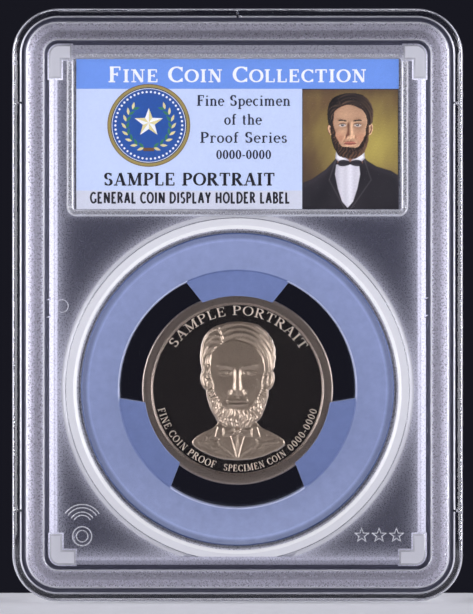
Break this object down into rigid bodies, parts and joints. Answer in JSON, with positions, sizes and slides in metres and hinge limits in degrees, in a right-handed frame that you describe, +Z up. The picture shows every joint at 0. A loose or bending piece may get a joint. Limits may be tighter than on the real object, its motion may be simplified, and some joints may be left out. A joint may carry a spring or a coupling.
{
  "type": "graded coin slab",
  "caption": "Clear welded display holder with a soft pronged gasket that grips one struck coin, under a printed label with a contactless tag.",
  "frame": {"origin": "middle of the bottom edge on which the holder stands", "axes": "+Z up towards the label, +X to the viewer's right, -Y towards the viewer"},
  "size_m": [0.0622, 0.008, 0.0819],
  "materials": {
    "clear_plastic": "gloss",
    "gasket_blue": "matte",
    "coin_clad": "polished",
    "coin_copper": "satin",
    "label_front": "satin",
    "label_rear": "satin",
    "tag_film": "satin",
    "tag_copper": "satin",
    "tag_chip": "satin",
    "foil": "polished"
  },
  "bodies": {
    "slab": {"front_shell": "clear_plastic", "rear_shell": "clear_plastic", "coin_gasket": "gasket_blue", "front_label": "label_front", "rear_label": "label_rear", "nfc_film": "tag_film", "nfc_antenna": "tag_copper", "nfc_chip": "tag_chip", "hologram_seal": "foil"},
    "coin": {"coin_core": "coin_copper", "coin_obverse_layer": "coin_clad", "coin_reverse_layer": "coin_clad"}
  },
  "joints": [
    {"name": "coin_turn", "type": "hinge", "parent": "slab", "child": "coin", "pos_m": [0, 0, 0.0293], "axis": [0, -1, 0], "continuous": true}
  ]
}
